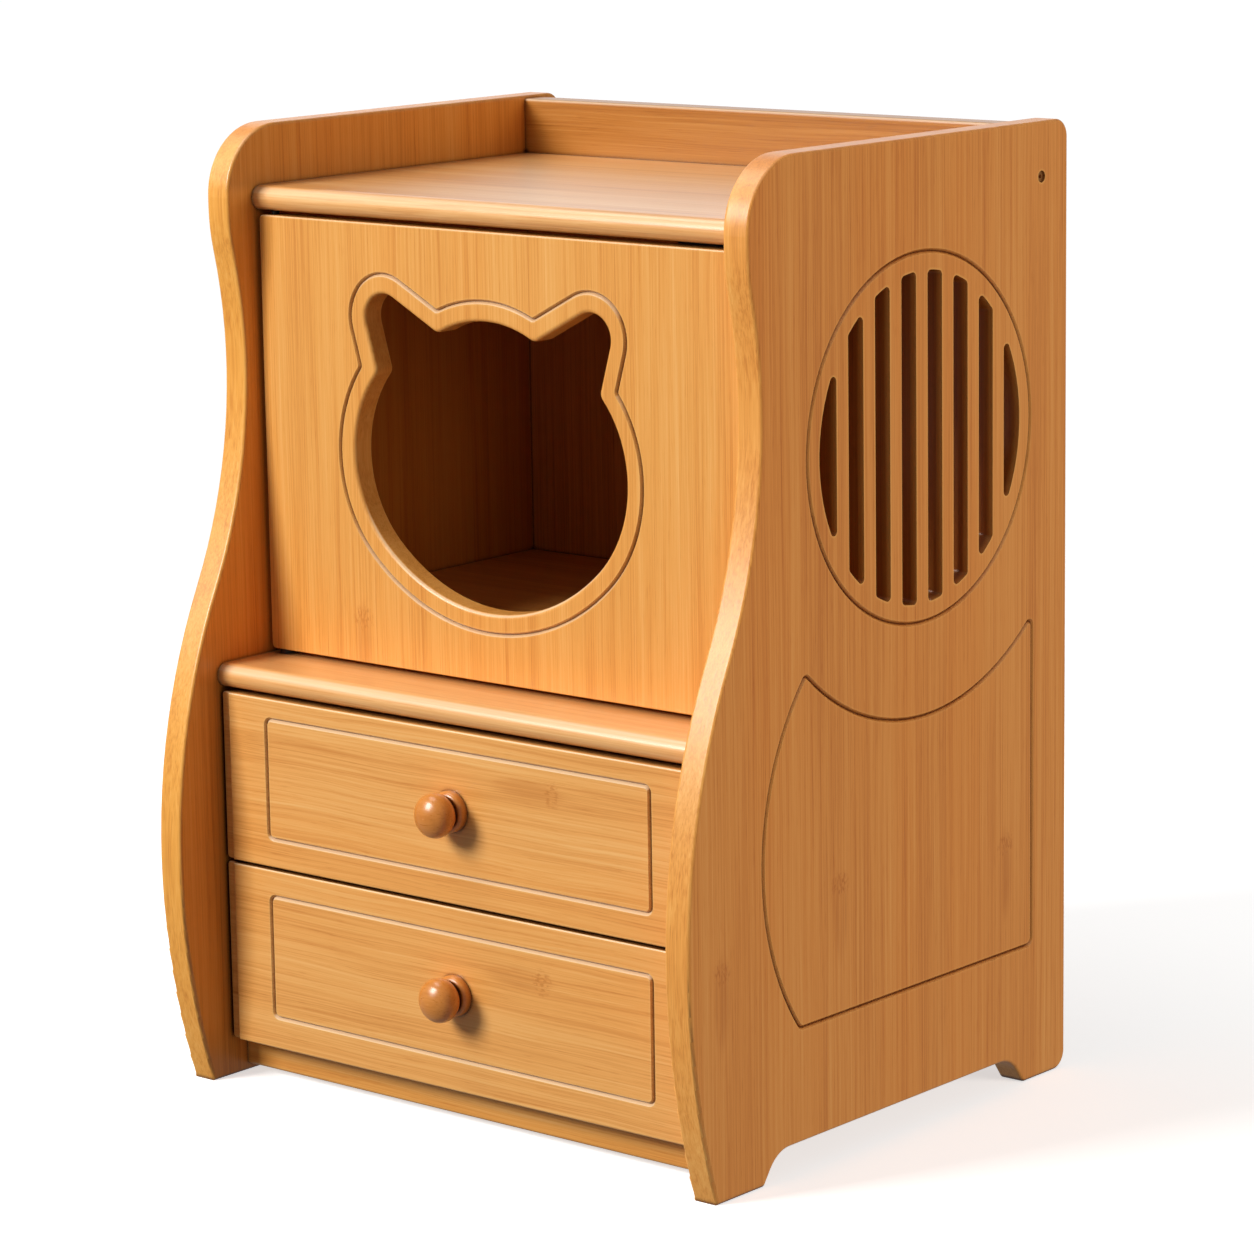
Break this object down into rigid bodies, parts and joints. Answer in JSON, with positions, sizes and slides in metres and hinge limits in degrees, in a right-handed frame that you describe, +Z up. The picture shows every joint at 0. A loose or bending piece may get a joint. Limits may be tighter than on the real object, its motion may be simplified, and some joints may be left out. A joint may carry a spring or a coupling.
{
  "type": "nightstand cat bed",
  "caption": "Bedside cabinet with curved side panels, a cat room behind a hinged door with a cat-head opening, a round slotted side vent and drawers below.",
  "frame": {"origin": "on the floor, under the middle of the cabinet's bounding box", "axes": "+X to the right along the front, +Y from the front to the back, +Z up"},
  "size_m": [0.42, 0.368, 0.59],
  "materials": {
    "panel_bamboo": "satin",
    "front_bamboo": "satin",
    "knob_bamboo": "gloss",
    "inner_bamboo": "satin",
    "beech_dowel": "raw",
    "steel": "zinc plated",
    "zinc": "die cast",
    "brass": "turned",
    "dark_nylon": "moulded",
    "ferrite": "sintered"
  },
  "bodies": {
    "cabinet": {"back_panel": "inner_bamboo", "base_dowels": "beech_dowel", "base_rail": "front_bamboo", "batten_screws": "steel", "bottom_board": "inner_bamboo", "bottom_bush": "brass", "cam_bolts": "brass", "cam_discs": "zinc", "carcase_dowels": "beech_dowel", "cat_floor": "inner_bamboo", "catch_body": "dark_nylon", "catch_magnet": "ferrite", "catch_screws": "steel", "cleat_left": "inner_bamboo", "cleat_right": "inner_bamboo", "gallery_rail": "front_bamboo", "gallery_screws": "steel", "lower_runner_left": "inner_bamboo", "lower_runner_right": "inner_bamboo", "mid_shelf": "front_bamboo", "side_panel_left": "panel_bamboo", "side_panel_right": "panel_bamboo", "thrust_washer": "dark_nylon", "top_board": "front_bamboo", "top_bush": "brass", "upper_runner_left": "inner_bamboo", "upper_runner_right": "inner_bamboo"},
    "door": {"door_panel": "front_bamboo", "pivot_pins": "steel", "strike_plate": "steel", "strike_screw": "steel"},
    "upper_drawer": {"upper_back": "inner_bamboo", "upper_bottom": "inner_bamboo", "upper_dowels": "beech_dowel", "upper_front": "front_bamboo", "upper_knob": "knob_bamboo", "upper_knob_screw": "steel", "upper_side_left": "inner_bamboo", "upper_side_right": "inner_bamboo"},
    "lower_drawer": {"lower_back": "inner_bamboo", "lower_bottom": "inner_bamboo", "lower_dowels": "beech_dowel", "lower_front": "front_bamboo", "lower_knob": "knob_bamboo", "lower_knob_screw": "steel", "lower_side_left": "inner_bamboo", "lower_side_right": "inner_bamboo"}
  },
  "joints": [
    {"name": "door_hinge", "type": "hinge", "parent": "cabinet", "child": "door", "pos_m": [-0.1815, -0.095, 0.4], "axis": [0, 0, -1], "range_deg": [0, 90]},
    {"name": "upper_drawer_slide", "type": "slide", "parent": "cabinet", "child": "upper_drawer", "axis": [0, -1, 0], "range_m": [0, 0.195]},
    {"name": "lower_drawer_slide", "type": "slide", "parent": "cabinet", "child": "lower_drawer", "axis": [0, -1, 0], "range_m": [0, 0.195]}
  ]
}
